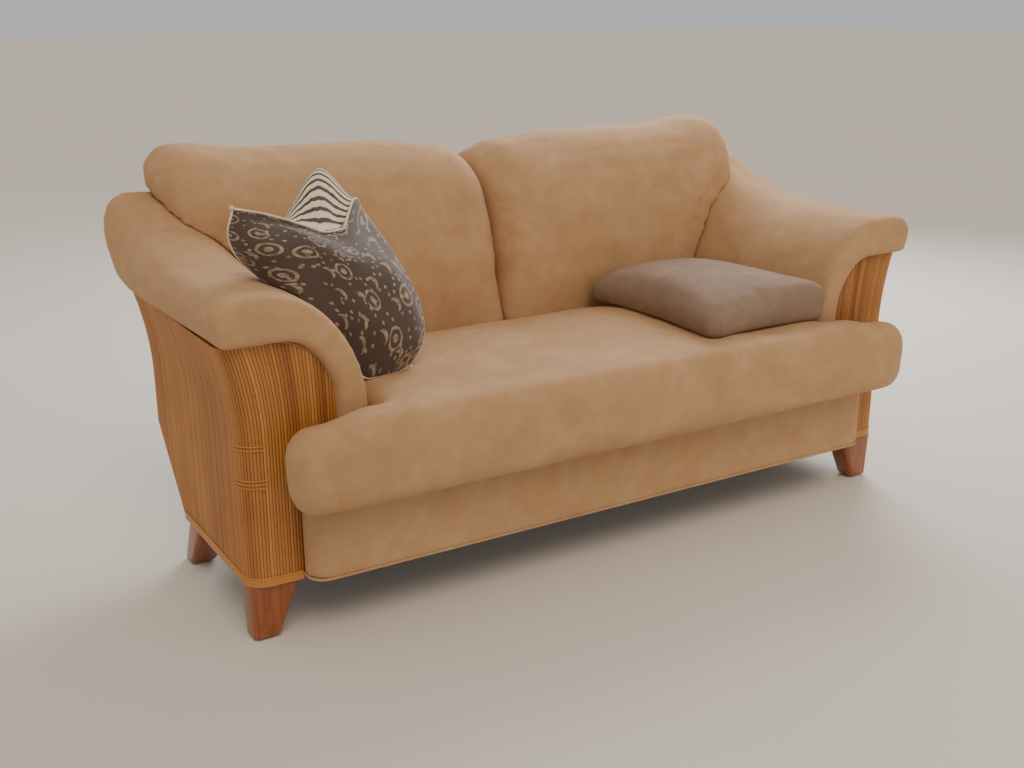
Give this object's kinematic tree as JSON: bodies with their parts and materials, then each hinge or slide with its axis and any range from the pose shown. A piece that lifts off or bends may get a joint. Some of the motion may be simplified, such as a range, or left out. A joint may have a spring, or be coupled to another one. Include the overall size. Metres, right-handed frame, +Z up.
{
  "type": "two-seat sofa",
  "caption": "Upholstered sofa with rattan-clad arms under rolled pads, a raked two-part back, a T-shaped seat cushion, tapered wooden feet and loose scatter cushions.",
  "frame": {"origin": "on the floor under the middle of the sofa's overall width and depth", "axes": "+X to the right of a person facing the sofa, +Y towards the sofa's back, +Z up"},
  "size_m": [1.7952, 0.876, 0.884],
  "materials": {
    "velour": "short soft pile, sand beige",
    "rattan": "thin split reeds, honey amber, clear satin lacquer",
    "stained_wood": "red-brown stain, satin lacquer",
    "frame_timber": "bare sawn timber",
    "black_cloth": "thin black non-woven cloth",
    "glide_plastic": "dull grey",
    "taupe_cloth": "plain brushed cloth, taupe",
    "printed_cloth": "dark brown printed cloth with cream rings, crescents and dots"
  },
  "bodies": {
    "root": {"corner_post_left": "rattan", "corner_post_right": "rattan", "side_panel_left": "rattan", "side_panel_right": "rattan", "front_panel_left": "rattan", "front_panel_right": "rattan", "base_band_left": "rattan", "base_band_right": "rattan", "rear_infill_left": "velour", "rear_infill_right": "velour", "arm_pad_left": "velour", "arm_pad_right": "velour", "back_pad_left": "velour", "back_pad_right": "velour", "back_shell": "velour", "apron": "velour", "seat_cushion": "velour", "foot_front_left": "stained_wood", "foot_front_right": "stained_wood", "foot_rear_left": "stained_wood", "foot_rear_right": "stained_wood", "rail_left": "frame_timber", "rail_right": "frame_timber", "rail_front": "frame_timber", "rail_rear": "frame_timber", "rail_centre": "frame_timber", "seat_deck": "black_cloth", "dust_cover": "black_cloth", "glide_front_left": "glide_plastic", "glide_front_right": "glide_plastic", "glide_rear_left": "glide_plastic", "glide_rear_right": "glide_plastic", "plain_cushion": "taupe_cloth", "throw_cushion": "printed_cloth"}
  },
  "joints": []
}
